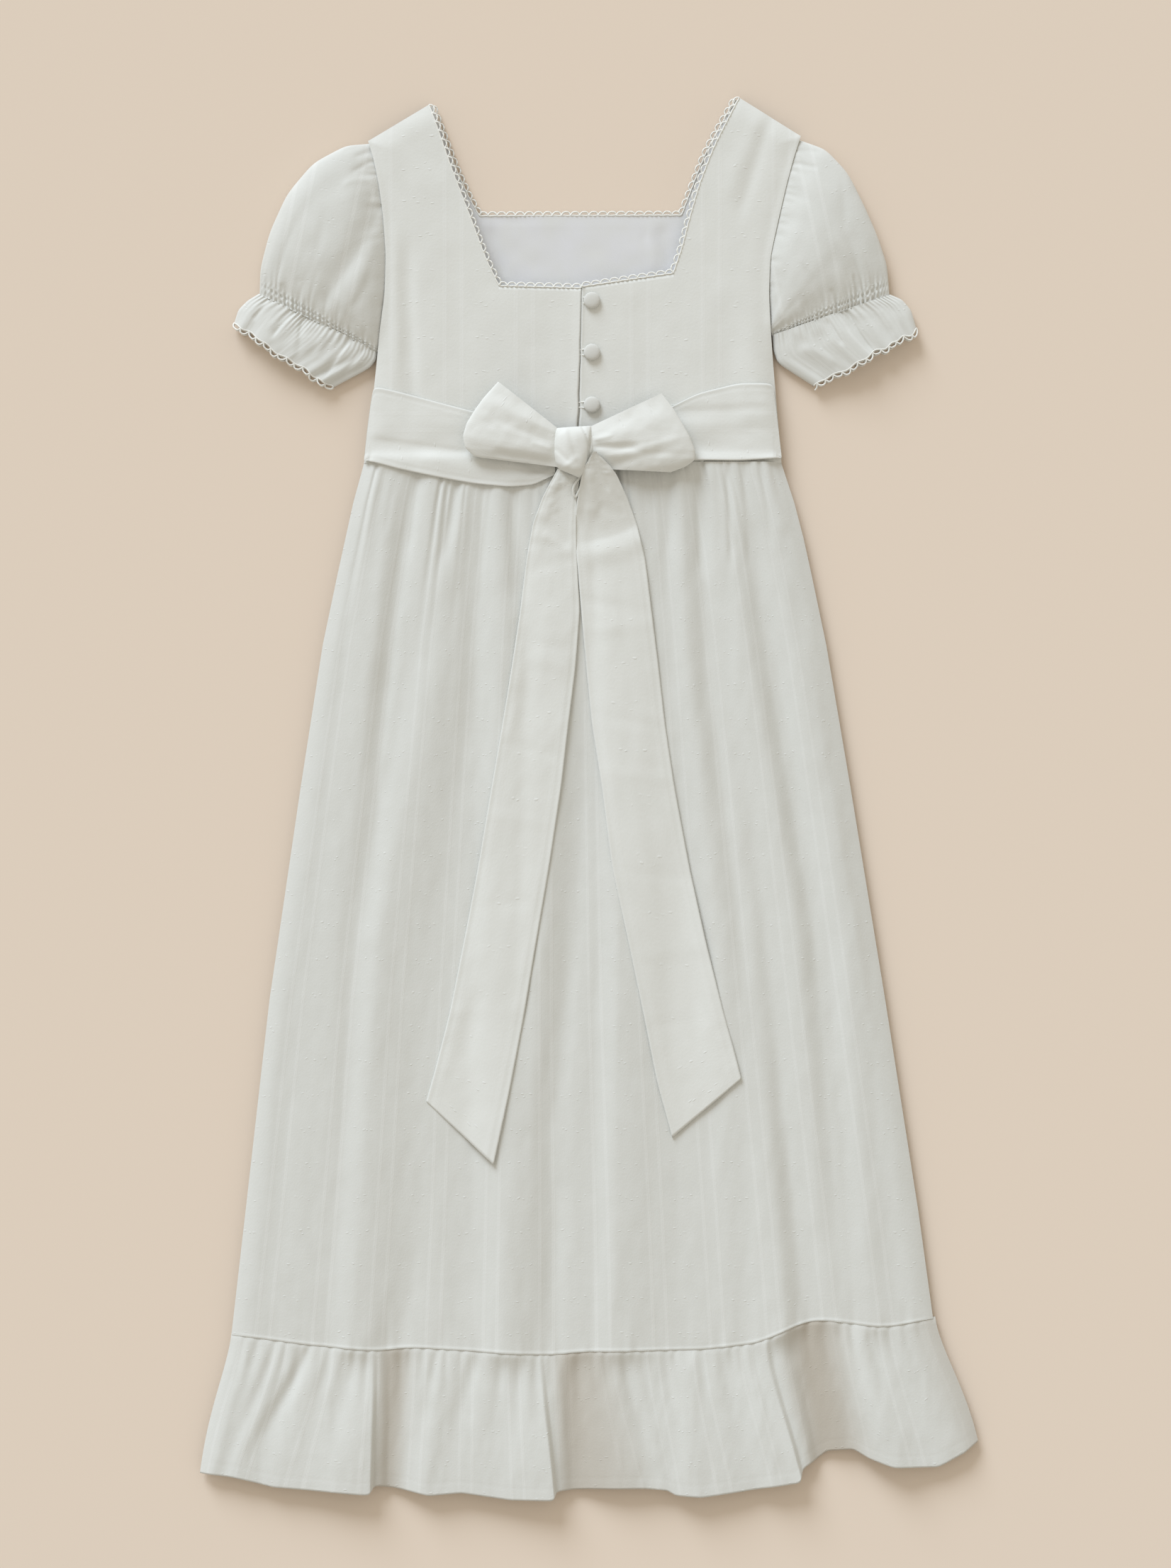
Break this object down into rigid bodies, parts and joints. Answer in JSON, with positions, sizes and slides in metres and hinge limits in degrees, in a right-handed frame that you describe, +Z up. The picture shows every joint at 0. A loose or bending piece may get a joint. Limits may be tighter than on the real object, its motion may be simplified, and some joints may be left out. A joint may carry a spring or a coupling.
{
  "type": "child's dress",
  "caption": "White cotton child's dress laid flat, back uppermost, with a high waist, puff sleeves, a tied sash and a gathered hem ruffle.",
  "frame": {"origin": "centre of the footprint on the surface that the dress lies on", "axes": "+Y from the hem to the neck along the dress, +X to the wearer's right, across the dress, +Z up from the surface, out of the back of the dress"},
  "size_m": [0.548, 0.9891, 0.0264],
  "materials": {
    "dobby_cotton": "fine white cotton with woven satin stripes and small clipped dots, soft and slightly sheer",
    "lining_cotton": "plain smooth white cotton lining",
    "cotton_lace": "ivory cotton loop edging, matt",
    "covered_button": "white cotton pulled over a domed button",
    "cotton_thread": "white cotton thread, matt"
  },
  "bodies": {
    "root": {"front_bodice": "dobby_cotton", "front_lining": "lining_cotton", "back_bodice_left": "dobby_cotton", "back_bodice_right": "dobby_cotton", "front_skirt": "dobby_cotton", "back_skirt": "dobby_cotton", "front_ruffle": "dobby_cotton", "back_ruffle": "dobby_cotton", "left_sleeve": "dobby_cotton", "right_sleeve": "dobby_cotton", "left_frill": "dobby_cotton", "right_frill": "dobby_cotton", "left_cuff_lace": "cotton_lace", "right_cuff_lace": "cotton_lace", "back_neck_lace_left": "cotton_lace", "back_neck_lace_right": "cotton_lace", "front_neck_lace": "cotton_lace", "sash_band_left": "dobby_cotton", "sash_band_right": "dobby_cotton", "bow_loop_left": "dobby_cotton", "bow_loop_right": "dobby_cotton", "bow_knot": "dobby_cotton", "sash_tail_left": "dobby_cotton", "sash_tail_right": "dobby_cotton", "button_1": "covered_button", "button_2": "covered_button", "button_3": "covered_button", "button_loop_1": "cotton_thread", "button_loop_2": "cotton_thread", "button_loop_3": "cotton_thread"}
  },
  "joints": []
}
